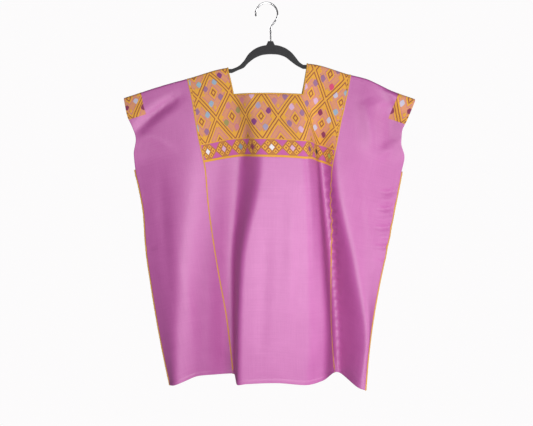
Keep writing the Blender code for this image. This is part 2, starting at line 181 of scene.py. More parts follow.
# Soft troughs and ridges, seen in the XZ plane: three places that each one runs through
FRONT_CREASES = (
    # name, x and z at its start, middle and end, outward, half width
    ("yoke crease left of the middle", -38, -200, -44, -262, -52, -330, -2.6, 9.0),
    ("yoke crease at the right", 84, -178, 96, -240, 104, -320, -3.2, 10.0),
    ("under the left hanger end", -268, -258, -220, -214, -174, -184, -8.0, 11.0),
    ("left armhole pull", -262, -268, -228, -262, -190, -285, 2.4, 10.0),
    ("right shoulder hollow", 240, -192, 247, -232, 250, -296, -10.0, 25.0),
    ("right shoulder ridge", 236, -164, 258, -184, 276, -216, 7.0, 10.0),
    ("swell beside the right hollow", 196, -186, 208, -238, 214, -300, 7.0, 17.0),
    ("right armhole pull", 272, -276, 246, -286, 212, -320, 2.2, 9.0),
    ("first pucker by the right seam", 266, -366, 250, -376, 228, -372, -3.4, 4.0),
    ("second pucker", 264, -384, 248, -392, 226, -388, 2.2, 4.0),
    ("third pucker", 262, -402, 244, -410, 222, -404, -3.6, 4.5),
    ("fourth pucker", 260, -424, 242, -430, 222, -427, 2.0, 4.0),
    ("fifth pucker", 257, -442, 240, -448, 214, -443, -3.6, 4.5),
    ("sixth pucker", 255, -462, 240, -467, 220, -464, 2.2, 4.0),
    ("seventh pucker", 253, -482, 238, -487, 212, -481, -3.2, 4.5),
    ("eighth pucker", 248, -504, 236, -508, 220, -505, 1.6, 4.0),
    ("small pull on the left side seam", -250, -486, -238, -490, -222, -484, -1.8, 5.0),
    ("left length, long soft trough", -214, -330, -206, -470, -190, -640, -2.2, 13.0),
    ("left length, lower ridge", -168, -520, -158, -610, -148, -730, 1.8, 12.0),
    ("centre, long trough", 2, -420, -4, -560, -12, -735, -1.8, 14.0),
    ("centre, right of it", 52, -360, 48, -480, 44, -640, 1.6, 12.0),
    ("fold behind the right seam", 117, -262, 140, -520, 152, -770, -5.0, 7.0),
    ("right slope crease", 92, -400, 98, -520, 96, -660, -1.6, 11.0),
    ("right length, upper crease", 196, -330, 206, -420, 214, -520, -2.2, 9.0),
)
BACK_CREASES = (
    ("shoulder blade crease at the left", -96, -186, -104, -250, -112, -330, -2.8, 10.0),
    ("shoulder blade crease at the right", 108, -182, 116, -244, 120, -318, -2.6, 9.0),
    ("under the left hanger end", -262, -198, -222, -188, -184, -204, -3.2, 9.0),
    ("under the right hanger end", 262, -206, 232, -190, 196, -200, -3.4, 9.0),
    ("left armhole pull", -258, -272, -226, -270, -190, -300, 2.0, 10.0),
    ("right armhole pull", 266, -280, 238, -284, 204, -312, 2.2, 10.0),
    ("first pucker by the left seam", -250, -420, -238, -424, -224, -418, -1.6, 5.0),
    ("second pucker by the left seam", -248, -452, -238, -455, -226, -450, 1.3, 4.5),
    ("first pucker by the right seam", 256, -396, 244, -400, 230, -395, -1.6, 5.0),
    ("second pucker by the right seam", 252, -428, 242, -431, 230, -426, 1.3, 4.5),
    ("middle, long trough", -18, -360, -10, -500, 0, -690, -1.8, 13.0),
    ("middle, right of it", 54, -420, 62, -560, 66, -720, 1.6, 12.0),
    ("right length, long trough", 190, -380, 186, -500, 180, -640, -2.0, 12.0),
    ("left length, long trough", -168, -400, -160, -520, -150, -660, -2.0, 12.0),
)

# A crease is followed in short steps, and fades towards both ends
CREASE_STEPS = 25
CREASE_END = 0.03
CREASE_FADE = 0.7

# How finely each piece is divided
ROW_STEP = 4.2
COLUMN_STEP = 4.0
EDGE_COLUMNS = (0.0, 1.2, 2.6)
HEM_ROWS = (0.0, 0.7, 2.4, 5.0, 7.4, 8.3, 9.6, 12.0)
FOLD_STEPS = 10
DROP_DIGITS = 5

# Places on the cloth: the warp's length from shoulder to hem, and each length's width
WARP_LENGTH = 640.0
CENTRE_WIDTH = 325.0
SIDE_WIDTH = 140.0
FOLD_LENGTH = math.pi * FOLD_RADIUS
# The share by which the centre length's weave crowds towards its seams, at each drop
BUNCHING_DROPS = (0.0, NECK_DROP, YOKE_DROP, 1.0)
BUNCHING = (0.03, 0.045, 0.15, 0.15)
# How far the yoke is pulled towards the back, at each share of the centre length's width
SKEW_SHARES = (0.0, 0.4, 1.0)
SKEW = (14.5, 8.0, 1.0)
DRIFT_U = 2.4
DRIFT_V = 2.0

# Lattice: the size of a diamond, and the place of one crossing on the cloth
LATTICE_WIDTH = 67.5
LATTICE_HEIGHT = 98.0
LATTICE_ACROSS = LATTICE_WIDTH * LATTICE_HEIGHT / math.hypot(LATTICE_WIDTH, LATTICE_HEIGHT)
LATTICE_U = 148.0
LATTICE_V = 57.5

# Its bands, from their middle line outwards: the groove, the gold's edge and the pink line's edge
BAND_GROOVE = (1.8, 3.8)
BAND_GOLD = 7.4
BAND_PINK = 8.6

# The ringed diamond in the middle of each large one, as shares of the large one
RING_GROOVE = (0.048, 0.09)
RING_GOLD = 0.155
RING_PINK = 0.178
RING_BLEND = 0.006
MOTIF_SHIFT = 4.0
DROPS_START = 4.0

# Small motifs: middle, half width and half height, in each quarter of a large diamond
SIDE_MOTIF = (21.5, 0.0, 3.8, 5.2)
TIP_MOTIF = (0.0, 31.0, 3.8, 5.2)

# Coloured drops: half width, length to the tip and to the foot, and how full their sides are
DROP_HALF_WIDTH = 5.7
DROP_TIP = 8.2
DROP_FOOT = 6.0
DROP_FULLNESS = 1.3
FIRST_DROPS = (
    # x, y, whether it points up
    (-6.5, -20.8, True),
    (7.5, 20.6, False),
)
SECOND_DROPS = (
    (15.0, -10.4, True),
    (-13.6, 10.6, False),
)

# Distances from the shoulder: the lattice's end, the last diamond with drops, and the border band's edges
LATTICE_END = 150.5
LAST_MOTIF = 130.0
BORDER_START = 152.6
BORDER_END = 183.2
YOKE_END = 187.8

# Border band: a chain of ringed diamonds, each of six small ones round a coloured one
BORDER_PITCH = 37.0
BORDER_FIRST = 14.0
CHAIN_GROUND = (0.0, 0.0, 20.5, 23.0)
CHAIN_UPPER = (6.0, 8.2, 4.9, 5.5)
CHAIN_SIDE = (12.0, 0.0, 5.3, 6.8)
CHAIN_CENTRE = (0.0, 0.0, 5.0, 6.7)
CHAIN_OUTLINE = 1.16
CHAIN_GOLD = 0.96
CHAIN_EYE = 0.36

# Brocaded squares at the sleeve ends, and where their lattice lies on the yoke's
SQUARE_WIDTH = 38.0
SQUARE_HALF_HEIGHT = 47.0
SQUARE_MOVE_U = 171.75
SQUARE_MOVE_V = 54.0

# Fine ribs of the brocade's thread, from rib to rib
RIB_U = 1.9
RIB_V = 1.7

# Stitches: the side seam's inset, how much longer an uneven stitch is, and each kind of row
SIDE_SEAM_INSET = 0.6
STITCH_REACH = 0.9
STITCHES = {
    # spacing and thickness over the stitch spacing, length added, height, slant, unevenness
    "joining": (1.0, 1.5, 0.0, 2.8, 0.12, 0.14),
    "side": (1.3, 1.7, 0.4, 4.2, 0.42, 0.12),
    "neck": (1.0, 1.6, -0.6, 3.4, 0.2, 0.12),
}

# Hanger
HANGER_FLAT = 0.5
HANGER_ROUNDING = 2.0
HANGER_BELOW_CLOTH = 2.3
ARM_LEFT_END = -212.0
ARM_RIGHT_END = 219.0
ARM_DEPTH = 8.2
ARM_STEP = 9.0
ARCH_STEP = 2.5
ARCH = (
    # x, upper edge, lower edge
    (-69.0, -128.0, -136.2),
    (-57.0, -123.0, -130.6),
    (-46.0, -113.0, -126.0),
    (-36.0, -98.5, -116.0),
    (-21.0, -87.1, -105.5),
    (-6.0, -82.0, -100.3),
    (8.0, -80.4, -99.1),
    (20.0, -81.2, -99.6),
    (35.0, -85.5, -103.5),
    (49.0, -94.5, -113.2),
    (58.0, -104.5, -120.0),
    (66.0, -114.5, -124.6),
    (73.5, -119.9, -128.1),
)
BOSS_X = 8.0
BOSS_TOP = -73.3
BOSS_HALF_WIDTH = 8.5
BOSS_TOP_HALF_WIDTH = 5.0
TIP_ANGLE = 75.0
TIP_STEPS = 10
BEVEL_STEPS = 4

# Hook
WIRE_RADIUS = 1.75
HOOK_INNER_RADIUS = 20.0
HOOK_START_ANGLE = -22.0
HOOK_END_ANGLE = 192.0
HOOK_STEPS = 60
NECK_BEND_STEPS = 20
WIRE_STEPS = 6
STEM_TOP = -52.0
SEAT_GAP = 0.3
SHARP_ANGLE = math.radians(50)
WELD_DISTANCE = 0.01

# Camera, floor and lights, in metres
CAMERA_PLACE = (0.0, -1.6, -0.228)
CAMERA_PITCH = 6.81
CAMERA_LENS = 53.09
FLOOR_Z = -1.45
FLOOR_RADIUS = 1.15
ROOM_SHOWN = (0.975, 0.965, 0.97)
ROOM_LIGHT = (0.13, 0.128, 0.134)
LIGHTS = (
    # name, place, target, size, power in watts
    ("window", (0.08, -1.0, -0.45), (0.0, 0.0, -0.45), 0.6, 11.4),
    ("side window", (1.8, -0.62, -0.4), (0.12, 0.0, -0.45), 0.8, 18.0),
    ("room behind", (-0.7, 1.9, 0.3), (0.0, 0.0, -0.4), 1.4, 30.0),
)

# Thread colours of the brocade's small motifs
THREADS = {
    "lilac grey": (0.33, 0.28, 0.41),
    "plum": (0.20, 0.03, 0.17),
    "light pink": (0.60, 0.36, 0.52),
    "mauve": (0.29, 0.13, 0.24),
    "salmon": (0.54, 0.18, 0.22),
    "olive": (0.30, 0.25, 0.08),
    "lilac white": (0.50, 0.45, 0.56),
    "wine": (0.22, 0.02, 0.08),
    "brown pink": (0.46, 0.18, 0.24),
    "crimson": (0.60, 0.05, 0.15),
    "light blue": (0.27, 0.36, 0.46),
    "sea blue": (0.26, 0.40, 0.46),
    "white": (0.72, 0.69, 0.72),
    "black": (0.02, 0.012, 0.02),
    "green": (0.34, 0.40, 0.05),
    "grey blue": (0.20, 0.25, 0.30),
}

# Which thread fills the drops of each diamond, from left to right: first pair, then second pair
LATTICE_CHART = (
    # rows from the lowest diamond of the front, over the shoulder, to the back
    ("mauve", "salmon", "lilac grey", "light pink", "wine"),
    ("light blue", "salmon", "brown pink", "mauve", "light blue"),
    ("sea blue", "salmon", "light blue", "mauve", "crimson"),
    ("lilac grey", "wine", "light pink", "olive", "light blue"),
)
LATTICE_CHART_SECOND = (
    ("light blue", "olive", "plum", "mauve", "lilac white"),
    ("mauve", "light pink", "mauve", "light pink", "lilac white"),
    ("light blue", "plum", "wine", "lilac grey", "mauve"),
    ("salmon", "lilac white", "plum", "light pink", "crimson"),
)
SLEEVE_CHART = (("wine",) * 5,) * 4
SLEEVE_CHART_SECOND = (("lilac white",) * 5,) * 4
BORDER_CHART = (
    "white", "light pink", "grey blue", "wine", "white", "light pink", "plum", "black", "green",
)


def steady_curve(knots, values, at):
    """A smooth curve through the values that doesn't swing past them."""
    knots, values = np.asarray(knots, float), np.asarray(values, float)
    rise = np.diff(values) / np.diff(knots)
    slope = np.zeros(len(values))
    same_way = rise[:-1] * rise[1:] > 0
    slope[1:-1][same_way] = (2 * rise[:-1] * rise[1:])[same_way] / (rise[:-1] + rise[1:])[same_way]
    slope[0], slope[-1] = rise[0], rise[-1]
    at = np.clip(np.asarray(at, float), knots[0], knots[-1])
    i = np.clip(np.searchsorted(knots, at) - 1, 0, len(knots) - 2)
    width = knots[i + 1] - knots[i]
    t = (at - knots[i]) / width
    start = (1 + 2 * t) * (1 - t) ** 2 * values[i] + t * (1 - t) ** 2 * width * slope[i]
    end = t * t * (3 - 2 * t) * values[i + 1] + t * t * (t - 1) * width * slope[i + 1]
    return start + end


def rounded(x, y):
    """The same section with its bends eased over a short length of the cloth."""
    length = np.concatenate(([0.0], np.cumsum(np.hypot(np.diff(x), np.diff(y)))))
    even = np.linspace(0.0, length[-1], int(length[-1] / SAMPLE))
    reach = int(SOFTNESS / SAMPLE)
    window = np.hanning(2 * reach + 3)[1:-1]
    eased = []
    for values in (x, y):
        line = np.interp(even, length, values)
        before = 2 * line[0] - line[reach:0:-1]
        after = 2 * line[-1] - line[-2:-reach - 2:-1]
        eased.append(np.convolve(np.concatenate((before, line, after)), window / window.sum(), "valid"))
    return eased


def column(table, index):
    return [row[index] for row in table]


def outline_at(drop):
    """x of the left side, left seam, right seam and right side."""
    drops = column(OUTLINE, 0)
    return [float(steady_curve(drops, column(OUTLINE, i), drop)) for i in range(1, 5)]


def shoulder_z(x):
    return steady_curve(column(SHOULDER, 1), column(SHOULDER, 2), x)


def crease_height(creases, x, z):
    """How far the soft troughs and ridges move the cloth outwards at each place."""
    height = np.zeros(len(x))
    steps = np.linspace(0.0, 1.0, CREASE_STEPS)
    for _, x0, z0, x1, z1, x2, z2, outward, half_width in creases:
        before, middle, after = (1 - steps) ** 2, 2 * steps * (1 - steps), steps ** 2
        path_x = before * x0 + middle * (2 * x1 - (x0 + x2) / 2) + after * x2
        path_z = before * z0 + middle * (2 * z1 - (z0 + z2) / 2) + after * z2
        apart = np.hypot(x[:, None] - path_x[None, :], z[:, None] - path_z[None, :])
        along = np.clip(steps[apart.argmin(axis=1)], CREASE_END, 1.0 - CREASE_END)
        fade = np.sin(math.pi * along) ** CREASE_FADE
        height += outward * fade * np.exp(-(apart.min(axis=1) / half_width) ** 2)
    return height


def splayed(drop, shares):
    """Shares of the centre length, spread by the hanger towards the top of the neck hole."""
    spread = max(0.0, 1.0 - drop / NECK_DROP)
    return shares + spread * np.interp(shares, column(NECK_SPLAY, 0), column(NECK_SPLAY, 1))


class Face:
    """The front or the back of the cloth, as a surface to take points from."""

    def __init__(self, folds, hem, creases, facing):
        self.folds, self.hem, self.creases, self.facing = folds, hem, creases, facing
        self.rows = {}

    def row(self, drop):
        """The cloth's cross-section at one height, measured along the cloth."""
        if drop not in self.rows:
            lines = outline_at(drop)
            drops = column(EDGES, 0)
            gap, left, right = [float(steady_curve(drops, column(EDGES, i), drop)) for i in (1, 2, 3)]
            forwards = -self.facing
            knots, out = [lines[0]], [gap + forwards * left]
            for fold in self.folds:
                places, outward = fold[1:6], (FOLD_RADIUS, *fold[6:])
                knots.append(float(steady_curve(CREST_DROPS, places, drop)))
                out.append(float(steady_curve(FOLD_DROPS, outward, drop)))
            knots.append(lines[3])
            out.append(gap + forwards * right)
            x = np.linspace(lines[0], lines[3], SECTION_POINTS)
            x, y = rounded(x, self.facing * steady_curve(knots, out, x))
            length = np.concatenate(([0.0], np.cumsum(np.hypot(np.diff(x), np.diff(y)))))
            self.rows[drop] = (x, y, length, np.interp(lines, x, length))
        return self.rows[drop]

    def across(self, drop, panel, shares, shifts):
        """x, y and outward normals at shares of a length's width, shifted along the cloth."""
        x, y, length, borders = self.row(drop)
        shares = splayed(drop, shares) if panel == 1 else shares
        at = borders[panel] + (borders[panel + 1] - borders[panel]) * shares + shifts
        dx = np.interp(at + 1, length, x) - np.interp(at - 1, length, x)
        dy = np.interp(at + 1, length, y) - np.interp(at - 1, length, y)
        size = np.hypot(dx, dy) * self.facing
        normals = np.stack((-dy / size, dx / size, np.zeros(len(at))), axis=1)
        return np.interp(at, length, x), np.interp(at, length, y), normals

    def points(self, drop, panel, shares, shifts):
        """Points and outward normals at one drop, creases included."""
        x, y, normals = self.across(drop, panel, shares, shifts)
        top_x = self.across(0.0, panel, shares, shifts)[0]
        hem_x = self.across(1.0, panel, shares, shifts)[0]
        top = shoulder_z(top_x) - MIDDLE_OF_WALL - FOLD_RADIUS
        hem = steady_curve(column(self.hem, 1), column(self.hem, 2), hem_x)
        level = np.clip(top_x, -TILT_REACH, TILT_REACH) * HANGER_TILT
        near = drop / TILT_DROP * math.exp(1 - drop / TILT_DROP)
        z = top + (hem - top) * drop - level * near
        out = crease_height(self.creases, x, z)
        x = x + normals[:, 0] * out
        y = y + normals[:, 1] * out
        return np.stack((x, y, z), axis=1), normals


FRONT = Face(FRONT_FOLDS, FRONT_HEM, FRONT_CREASES, -1.0)
BACK = Face(BACK_FOLDS, BACK_HEM, BACK_CREASES, 1.0)


def cloth_rows(panel, shares, shifts, drops, end=1.0):
    """Rows of points, normals and warp places: front hem, over the shoulder, back hem."""
    chosen = [d for d in drops if d <= end]
    front = [(*FRONT.points(d, panel, shares, shifts), d * WARP_LENGTH) for d in reversed(chosen)]
    back = [(*BACK.points(d, panel, shares, shifts), -FOLD_LENGTH - d * WARP_LENGTH) for d in chosen]
    over = []
    top = front[-1][0]
    for i in range(1, FOLD_STEPS):
        angle = math.pi * i / FOLD_STEPS
        normal = np.array((0.0, -math.cos(angle), math.sin(angle)))
        ring = top.copy()
        ring[:, 1] = FOLD_RADIUS * normal[1]
        ring[:, 2] += FOLD_RADIUS * normal[2]
        over.append((ring, np.tile(normal, (len(ring), 1)), -FOLD_LENGTH * i / FOLD_STEPS))
    return front + over + back


def spaced(start, end, step):
    """Even places from start to end, no further apart than the step."""
    count = max(2, math.ceil(abs(end - start) / step))
    return [start + (end - start) * i / count for i in range(count + 1)]


def drop_list(*fixed):
    """Even drops that include the fixed ones, with fine rows for the rolled hem."""
    drops = [1.0 - rise / WARP_LENGTH for rise in HEM_ROWS]
    stops = sorted({0.0, drops[-1], *fixed})
    for low, high in zip(stops, stops[1:]):
        drops += spaced(low, high, ROW_STEP / WARP_LENGTH)
    return sorted({round(drop, DROP_DIGITS) for drop in drops})


def new_object(name, data, *materials):
    """Put a piece in the scene, at the origin."""
    for material in materials:
        data.materials.append(material)
    piece = bpy.data.objects.new(name, data)
    bpy.context.scene.collection.objects.link(piece)
    return piece


def as_mesh(piece):
    """Turn a piece and its modifiers into a plain mesh object of the same name."""
    bpy.context.view_layer.update()
    evaluated = piece.evaluated_get(bpy.context.evaluated_depsgraph_get())
    mesh = bpy.data.meshes.new_from_object(evaluated)
    mesh.transform(piece.matrix_world)
    name = piece.name
    materials = [m for m in piece.data.materials if m]
    bpy.data.objects.remove(piece, do_unlink=True)
    if not len(mesh.materials):
        for material in materials:
            mesh.materials.append(material)
    mesh.name = name
    made = bpy.data.objects.new(name, mesh)
    bpy.context.scene.collection.objects.link(made)
    return made


def finish_piece(piece, node):
    """Hang the piece on the root body, and hide the solid of model.glb that it stands for."""
    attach(piece, "root")
    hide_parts(node)


class Value:
    """A number, a colour or a shape on its way through a tree of nodes."""

    def __init__(self, nodes, socket):
        self.nodes, self.socket = nodes, socket

    def math(self, operation, *others, clamp=False):
        values = dict(enumerate((self, *others)))
        return self.nodes.node("ShaderNodeMath", {"operation": operation, "use_clamp": clamp}, values)

    def __add__(self, other):
        return self.math("ADD", other)

    __radd__ = __add__

    def __sub__(self, other):
        return self.math("SUBTRACT", other)

    def __rsub__(self, other):
        return (self * -1.0) + other

    def __mul__(self, other):
        return self.math("MULTIPLY", other)

    __rmul__ = __mul__

    def __truediv__(self, other):
        return self.math("DIVIDE", other)

    def __abs__(self):
        return self.math("ABSOLUTE")

    def floor(self):
        return self.math("FLOOR")

    def wave(self, period):
        """A wave between -1 and 1 along the value."""
        return (self * (2 * math.pi / period)).math("SINE")

    def power(self, exponent):
        return self.math("POWER", exponent)

    def wrapped(self, period):
        """The remainder, never below nought."""
        return self.math("FLOORED_MODULO", period)

    def from_middle(self, period):
        """Distance from the nearest multiple of a period, with its sign."""
        return (self + period / 2).wrapped(period) - period / 2

    def least(self, other):
        return self.math("MINIMUM", other)

    def most(self, other):
        return self.math("MAXIMUM", other)

    def clamped(self):
        return self.math("ADD", 0.0, clamp=True)

    def under(self, edge, softness=0.25):
        """1 where the value is below an edge, 0 above it, over a short blend."""
        return ((edge - self) / softness + 0.5).clamped()

    def between(self, low, high, softness=0.25):
        return self.under(high, softness) - self.under(low, softness)


class Nodes:
    """A tree of nodes: one method adds every node."""

    def __init__(self, tree):
        self.tree = tree
        self.tree.nodes.clear()

    def node(self, kind, settings=None, inputs=None, output=0):
        """Add a node: its settings first, then the values or links of its sockets."""
        made = self.tree.nodes.new(kind)
        for key, value in (settings or {}).items():
            if key == "stops":
                set_stops(made.color_ramp, value)
            else:
                setattr(made, key, value)
        for key, value in (inputs or {}).items():
            if isinstance(value, Value):
                self.tree.links.new(value.socket, made.inputs[key])
            else:
                made.inputs[key].default_value = value
        return Value(self, made.outputs[output]) if made.outputs else None


class Shader(Nodes):
    """The nodes of a material or of the surroundings."""

    def __init__(self, owner):
        owner.use_nodes = True
        super().__init__(owner.node_tree)
        self.owner = owner

    def mix(self, factor, first, second):
        """A colour between two colours."""
        first, second = [c if isinstance(c, Value) else (*c[:3], 1.0) for c in (first, second)]
        settings = {"data_type": "RGBA", "clamp_factor": True}
        return self.node("ShaderNodeMix", settings, {0: factor, 6: first, 7: second}, output=2)

    def chart(self, index, threads):
        """One thread's colour for each whole number from 0."""
        count = float(len(threads))
        stops = [(i / count, THREADS[name]) for i, name in enumerate(threads)]
        return self.node("ShaderNodeValToRGB", {"stops": stops}, {"Fac": (index + 0.5) / count})

    def noise(self, where, scale, detail=2.0, roughness=0.5):
        inputs = {"Vector": where, "Scale": scale, "Detail": detail, "Roughness": roughness}
        return self.node("ShaderNodeTexNoise", {"noise_dimensions": "3D"}, inputs)

    def surface(self, colour, settings, height=None, relief=0.0):
        """Principled surface with its constants on its own sockets, and relief from a height in mm."""
        inputs = dict(settings)
        inputs["Base Color"] = colour if isinstance(colour, Value) else (*colour[:3], 1.0)
        if height is not None:
            bump = {"Strength": 1.0, "Distance": relief * MM, "Height": height}
            inputs["Normal"] = self.node("ShaderNodeBump", None, bump)
        finish = self.node("ShaderNodeBsdfPrincipled", None, inputs)
        self.node("ShaderNodeOutputMaterial", None, {"Surface": finish})
        return self.owner


def material_shader(name):
    return Shader(bpy.data.materials.new(name))


def set_stops(ramp, stops):
    """Give a colour ramp its stops, each held up to the next."""
    ramp.interpolation = "CONSTANT"
    while len(ramp.elements) > 1:
        ramp.elements.remove(ramp.elements[-1])
    for place, (position, colour) in enumerate(stops):
        element = ramp.elements[0] if place == 0 else ramp.elements.new(position)
        element.position = position
        element.color = (*colour[:3], 1.0)


def cloth_places(shader):
    """U and V on the cloth in mm, with the small unevenness of handweaving."""
    uv = shader.node("ShaderNodeUVMap", {"uv_map": "cloth"})
    u = shader.node("ShaderNodeSeparateXYZ", None, {0: uv}, output=0) / MM
    v = shader.node("ShaderNodeSeparateXYZ", None, {0: uv}, output=1) / MM
    drift = shader.noise(uv, 28.0) - 0.5
    return uv, u + drift * DRIFT_U, v + drift * DRIFT_V


def woven_ground(shader, uv, u, v, colours):
    """Plain weave: its colour and its height."""
    pitch = colours.thread_pitch / MM
    weave = u.wave(pitch) * v.wave(pitch)
    streak = shader.node("ShaderNodeMapping", None, {"Vector": uv, "Scale": (900.0, 14.0, 1.0)})
    slub = shader.noise(streak, 1.0, detail=3.0)
    cross = shader.node("ShaderNodeMapping", None, {"Vector": uv, "Scale": (10.0, 700.0, 1.0)})
    weft_slub = shader.noise(cross, 1.0, detail=3.0)
    mottle = shader.noise(uv, 22.0, detail=4.0, roughness=0.6)
    shade = (slub - 0.5) * 0.5 + (weft_slub - 0.5) * 0.5 + (mottle - 0.5) * 0.5 + weave * 0.12 + 0.5
    colour = shader.mix(shade.clamped(), colours.orchid_dark, colours.orchid_light)
    return colour, weave * 0.4 + (slub + weft_slub) * 0.6


def diamond(x, y, middle_x, middle_y, half_width, half_height):
    """1 on the edge of a diamond, and less inside it."""
    return abs(x - middle_x) / half_width + abs(y - middle_y) / half_height


def coloured_drops(x, y, places):
    """1 inside the drops of one colour in a large diamond."""
    nearest = None
    for place_x, place_y, points_up in places:
        way = -1.0 if points_up else 1.0
        dx, dy = abs(x - place_x) / DROP_HALF_WIDTH, y - place_y
        dy = (dy / (way * DROP_TIP)).most(dy / (-way * DROP_FOOT))
        shape = dx.power(DROP_FULLNESS) + dy.power(DROP_FULLNESS)
        nearest = shape if nearest is None else nearest.least(shape)
    return nearest.under(1.0, 0.14)


def brocade_gold(shader, v, colours):
    """Gold thread in fine ribs: its colour and the ribs' wave."""
    rib = v.wave(RIB_V)
    return shader.mix((rib * 0.35 + 0.5).clamped(), colours.gold_dark, colours.gold_light), rib


def lattice(shader, u, v, colours, first_chart, second_chart):
    """The diamond lattice with its small motifs: its colour and its height."""
    across = (u - LATTICE_U) / LATTICE_WIDTH
    down = (v - LATTICE_V) / LATTICE_HEIGHT
    a, b = across + down, across - down
    band = abs(a.from_middle(1.0)).least(abs(b.from_middle(1.0))) * LATTICE_ACROSS
    a_cell, b_cell = a.floor(), b.floor()
    a_rest, b_rest = a - a_cell - 0.5, b - b_cell - 0.5
    odd = (a_cell - b_cell).wrapped(2.0)
    in_cell = (a_rest - b_rest) * (LATTICE_HEIGHT / 2)
    x = (a_rest + b_rest) * (LATTICE_WIDTH / 2) * (odd * 2.0 - 1.0)
    y = in_cell + (1.0 - odd) * MOTIF_SHIFT

    gold, rib = brocade_gold(shader, v, colours)
    speckle = (u.wave(RIB_U) * rib * 0.3 + 0.66).clamped()
    ground = shader.mix(speckle, colours.orchid_mid, gold)

    ring = diamond(x, y, 0.0, 0.0, LATTICE_WIDTH, LATTICE_HEIGHT)
    motif = diamond(abs(x), y, *SIDE_MOTIF).least(diamond(x, abs(y), *TIP_MOTIF)).under(1.0, 0.12)
    gold_mask = (band.under(BAND_GOLD) + ring.under(RING_GOLD, RING_BLEND) + motif).clamped()
    pink_ring = ring.between(RING_GOLD, RING_PINK, RING_BLEND)
    pink_mask = (band.between(BAND_GOLD, BAND_PINK) + pink_ring).clamped() * 0.7
    groove_mask = (band.between(*BAND_GROOVE) + ring.between(*RING_GROOVE, RING_BLEND)).clamped()

    rows, columns = float(len(first_chart)), float(len(first_chart[0]))
    row = (1.0 - (a_cell - b_cell)).wrapped(rows)
    place = ((a_cell + b_cell + 5.0) / 2.0).floor().wrapped(columns) + row * columns
    inside = (1.0 - band.under(DROPS_START)) * abs(v - in_cell).under(LAST_MOTIF)
    colour = shader.mix(pink_mask, ground, colours.orchid_mid)
    colour = shader.mix(gold_mask, colour, gold)
    colour = shader.mix(groove_mask, colour, colours.groove)
    drops = 0.0
    for places, chart in ((FIRST_DROPS, first_chart), (SECOND_DROPS, second_chart)):
        mask = coloured_drops(x, y, places) * inside
        colour = shader.mix(mask, colour, shader.chart(place, [name for line in chart for name in line]))
        drops = mask + drops
    height = gold_mask.most(drops.clamped()) * 0.9 - groove_mask * 0.5 + rib * 0.18 + speckle * 0.25
    return colour, height


def border_band(shader, u, v, colours):
    """The chain of ringed diamonds under the lattice: its colour and its height."""
    gold, rib = brocade_gold(shader, v, colours)
    x = abs((u - BORDER_FIRST).from_middle(BORDER_PITCH))
    y = abs(v - (BORDER_START + BORDER_END) / 2)
    index = ((u - BORDER_FIRST) / BORDER_PITCH + 0.5).floor().wrapped(float(len(BORDER_CHART)))
    small = diamond(x, y, *CHAIN_UPPER).least(diamond(x, y, *CHAIN_SIDE))
    centre = diamond(x, y, *CHAIN_CENTRE).under(1.0, 0.1)
    chain = diamond(x, y, *CHAIN_GROUND).under(1.0, 0.04)
    colour = shader.mix(chain, colours.orchid_mid, shader.mix(0.35, colours.groove, gold))
    colour = shader.mix(small.under(CHAIN_OUTLINE, 0.08), colour, colours.groove)
    colour = shader.mix(small.under(CHAIN_GOLD, 0.1), colour, gold)
    colour = shader.mix(small.under(CHAIN_EYE, 0.1), colour, colours.groove)
    colour = shader.mix(centre, colour, shader.chart(index, BORDER_CHART))
    return colour, small.under(1.0, 0.12).most(centre) * 0.9 + rib * 0.15


def centre_cloth(colours):
    """Orchid weave with the brocaded yoke, its border band and its closing lines."""
    shader = material_shader("centre_cloth")
    uv, u, v = cloth_places(shader)
    plain, plain_height = woven_ground(shader, uv, u, v, colours)
    from_shoulder = abs(v)
    yoke, yoke_height = lattice(shader, u, v, colours, LATTICE_CHART, LATTICE_CHART_SECOND)
    border, border_height = border_band(shader, u, from_shoulder, colours)
    upper_line = from_shoulder.between(LATTICE_END, BORDER_START)
    line = (upper_line + from_shoulder.between(BORDER_END, YOKE_END)).clamped()
    in_yoke = from_shoulder.under(LATTICE_END)
    in_border = from_shoulder.between(BORDER_START, BORDER_END)
    colour = shader.mix(in_yoke, plain, yoke)
    colour = shader.mix(in_border, colour, border)
    colour = shader.mix(line, colour, shader.mix(0.35, colours.gold_dark, colours.gold_light))
    height = plain_height * 0.25 + yoke_height * in_yoke + border_height * in_border + line
    return cloth_surface(shader, colour, height, from_shoulder.under(YOKE_END), colours)


def side_cloth(colours):
    """Orchid weave with the brocaded square at the sleeve end."""
    shader = material_shader("side_cloth")
    uv, u, v = cloth_places(shader)
    plain, plain_height = woven_ground(shader, uv, u, v, colours)
    square = u.under(SQUARE_WIDTH) * abs(v).under(SQUARE_HALF_HEIGHT)
    lattice_u, lattice_v = u + SQUARE_MOVE_U, v + SQUARE_MOVE_V
    brocade, brocade_height = lattice(
        shader, lattice_u, lattice_v, colours, SLEEVE_CHART, SLEEVE_CHART_SECOND
    )
    colour = shader.mix(square, plain, brocade)
    height = plain_height * 0.25 + brocade_height * square
    return cloth_surface(shader, colour, height, square, colours)


def cloth_surface(shader, colour, height, brocaded, colours):
    """Smooth plain weave with a soft shine, and duller thick brocade."""
    settings = {"Roughness": brocaded * 0.45 + 0.5, "Specular IOR Level": 1.0}
    return shader.surface(colour, settings, height, colours.relief / MM)


def gold_thread(colours):
    """Dull twisted cotton, worn lighter in places."""
    shader = material_shader("gold_thread")
    where = shader.node("ShaderNodeTexCoord", output=3)
    mottle = shader.noise(where, 320.0, detail=3.0)
    wear = shader.noise(where, 18.0)
    colour = shader.mix((mottle * 0.6 + wear * 0.3 - 0.25).clamped(), colours.gold_dark, colours.gold_light)
    twist = shader.noise(where, 1500.0)
    return shader.surface(colour, {"Roughness": 0.6}, twist, 0.15)


